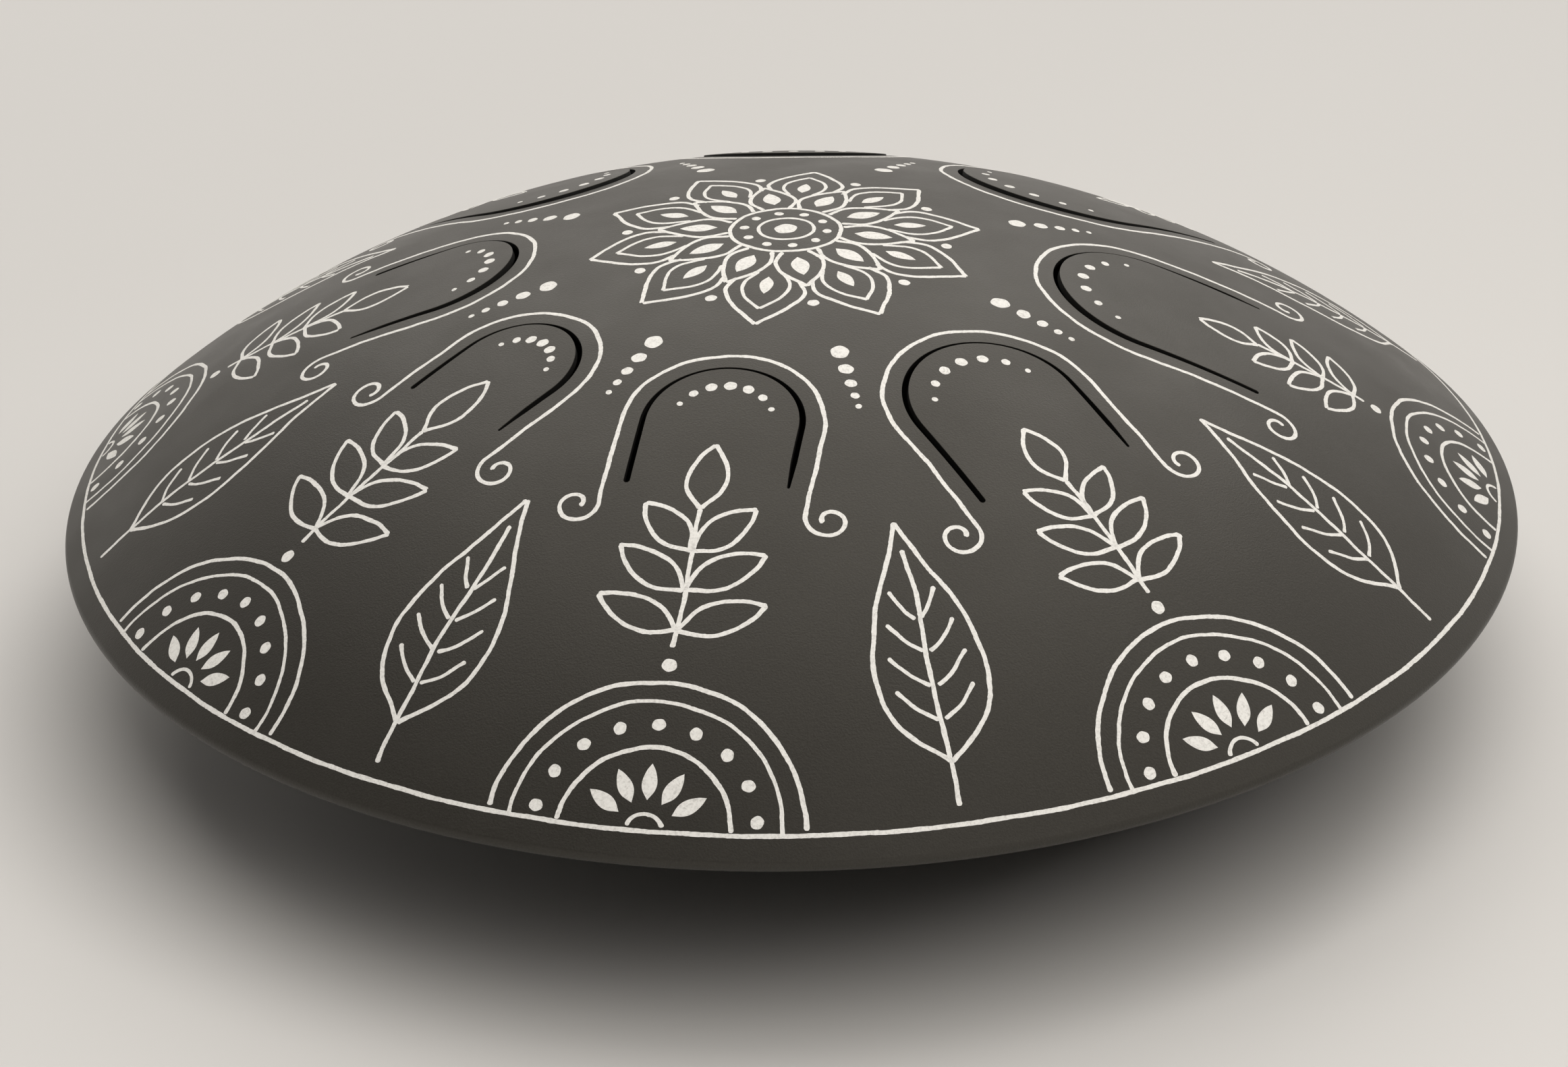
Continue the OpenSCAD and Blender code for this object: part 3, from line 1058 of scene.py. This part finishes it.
def add_camera():
    centre = Vector((0, 0, RIM_Z * MM))
    rise = math.radians(CAMERA_ELEVATION)
    back = Vector((0, -math.cos(rise), math.sin(rise)))
    forward = -back
    right = Vector((1, 0, 0))
    looking = Matrix((right, right.cross(forward), forward))
    aim = turn_matrix("X", CAMERA_TILT) @ turn_matrix("Y", CAMERA_PAN)
    rows = turn_matrix("Z", CAMERA_ROLL) @ aim @ looking
    data = bpy.data.cameras.new("camera")
    data.sensor_width = 36.0
    data.lens = FOCAL_PX / PHOTO_W * data.sensor_width
    data.clip_start, data.clip_end = 0.05, 50
    camera = bpy.data.objects.new("camera", data)
    axes = Matrix((rows[0], rows[1], -rows[2])).transposed()
    camera.matrix_world = Matrix.Translation(centre + back * CAMERA_DISTANCE * MM) @ axes.to_4x4()
    bpy.context.scene.collection.objects.link(camera)
    bpy.context.scene.camera = camera


def add_lamp(name, place, size, power, mirrored):
    """A square soft lamp that faces the drum; mirrored says whether gloss shows it."""
    data = bpy.data.lights.new(name, "AREA")
    data.size = size
    data.energy = power
    data.color = LIGHT_COLOUR
    lamp = bpy.data.objects.new(name, data)
    lamp.location = place
    lamp.visible_glossy = mirrored
    aim = Vector((0, 0, RIM_Z * MM)) - lamp.location
    lamp.rotation_euler = aim.to_track_quat("-Z", "Y").to_euler()
    bpy.context.scene.collection.objects.link(lamp)


def math_node(tree, operation, a, b):
    made = tree.nodes.new("ShaderNodeMath")
    made.operation = operation
    tree.links.new(a, made.inputs[0])
    tree.links.new(b, made.inputs[1])
    return made.outputs["Value"]


def mix_shaders(tree, factor, first, second, output):
    mix = tree.nodes.new("ShaderNodeMixShader")
    tree.links.new(factor, mix.inputs[0])
    tree.links.new(first, mix.inputs[1])
    tree.links.new(second, mix.inputs[2])
    tree.links.new(mix.outputs[0], output)


def seen_directly(tree):
    """1 for what the camera sees, also in gloss or through glass, 0 for light that falls on things."""
    rays = tree.nodes.new("ShaderNodeLightPath").outputs
    seen = math_node(tree, "MAXIMUM", rays["Is Camera Ray"], rays["Is Glossy Ray"])
    return math_node(tree, "MAXIMUM", seen, rays["Is Transmission Ray"])


def add_world():
    """Weak even light, and a backdrop, paler towards the floor, that the camera and reflections see."""
    world = bpy.data.worlds.new("studio")
    bpy.context.scene.world = world
    world.use_nodes = True
    tree = world.node_tree
    light = tree.nodes["Background"]
    light.inputs["Color"].default_value = LIGHT_COLOUR + (1,)
    light.inputs["Strength"].default_value = WORLD_STRENGTH
    rise = tree.nodes.new("ShaderNodeVectorMath")
    rise.operation = "DOT_PRODUCT"
    rise.inputs[1].default_value = BACKDROP_RISE
    tree.links.new(tree.nodes.new("ShaderNodeTexCoord").outputs["Generated"], rise.inputs[0])
    height = ranged(tree, rise.outputs["Value"], *BACKDROP_FADE, 0, 1)
    wall = mixed(tree, height, BACKDROP_COLOUR + (1,), BACKDROP_TOP + (1,))
    backdrop = node(tree, "Background", Color=wall)
    output = tree.nodes["World Output"].inputs[0]
    mix_shaders(tree, seen_directly(tree), light.outputs[0], backdrop.outputs[0], output)


def add_floor():
    """A pale floor that turns into the backdrop's colour away from the drum."""
    made, tree, shader = new_material("floor", Metallic=0.0)
    shader.inputs["Roughness"].default_value = 0.85
    colour = mixed(tree, noise(tree, 3, 3), (0.65, 0.64, 0.624, 1), (0.675, 0.665, 0.65, 1))
    tree.links.new(colour, shader.inputs["Base Color"])
    reach = tree.nodes.new("ShaderNodeVectorMath")
    reach.operation = "LENGTH"
    tree.links.new(tree.nodes["coords"].outputs["Object"], reach.inputs[0])
    far = ranged(tree, reach.outputs["Value"], *FLOOR_FADE, 0, 1)
    share = math_node(tree, "MULTIPLY", far, seen_directly(tree))
    backdrop = node(tree, "Emission", Color=BACKDROP_COLOUR + (1,))
    output = tree.nodes["Material Output"].inputs[0]
    mix_shaders(tree, share, shader.outputs[0], backdrop.outputs[0], output)
    corners = [(x * FLOOR_HALF, y * FLOOR_HALF, 0) for x, y in ((-1, -1), (1, -1), (1, 1), (-1, 1))]
    mesh = bpy.data.meshes.new("floor")
    mesh.from_pydata(corners, [], [(0, 1, 2, 3)])
    new_object("floor", mesh, made)


# Assembly

coat = coat_material()
# Slot walls painted near-black as the shade inside the slots
slot_shade = slot_shade_material()
paints = paint_material("paint_line", 0.32), paint_material("paint_fill", 0.5)
rubber = rubber_material()
zinc = zinc_material()


def place(piece, slot, *nodes):
    """A piece that rides on the drum's body."""
    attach(piece, "drum")
    if nodes:
        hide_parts(*nodes)


def bend(piece, tongue, slot):
    """A piece over a tongue, its transform baked into its mesh; the ends of its bend are worked out but
    not used.
    """
    start = tongue.world(0, tongue.root_y)
    end = tongue.world(0, tongue.root_y + BEND_SHARE * tongue.length)
    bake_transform(piece)


place(upper_skin(coat, slot_shade), "coat", "upper_shell")
place(lower_skin(coat), "coat", "lower_shell")
place(rim_bead(coat), "coat", "rim_weld")
for number in (1, 2, 3):
    place(foot_skin(number, rubber), "rubber", f"foot_{number}")
for tongue in tongues:
    skin = tongue_skin(tongue, coat, slot_shade)
    bend(skin, tongue, "coat")
    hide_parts(tongue.body)

ink = ornament()
place(ink.build(ON_DISH, "lines_drum", *paints), "line_paint")
for index, tongue in enumerate(tongues):
    if index in ink.points:
        bend(ink.build(index, "lines_" + tongue.body, *paints), tongue, "line_paint")

for name in ("foot_washers", "foot_screws", "rivet_nuts"):
    fastener = frame["nodes"][name]
    fastener.data.materials.clear()
    fastener.data.materials.append(zinc)

add_camera()
add_world()
add_floor()
for lamp in LAMPS:
    add_lamp(*lamp)
bpy.context.scene.view_settings.view_transform = "Standard"
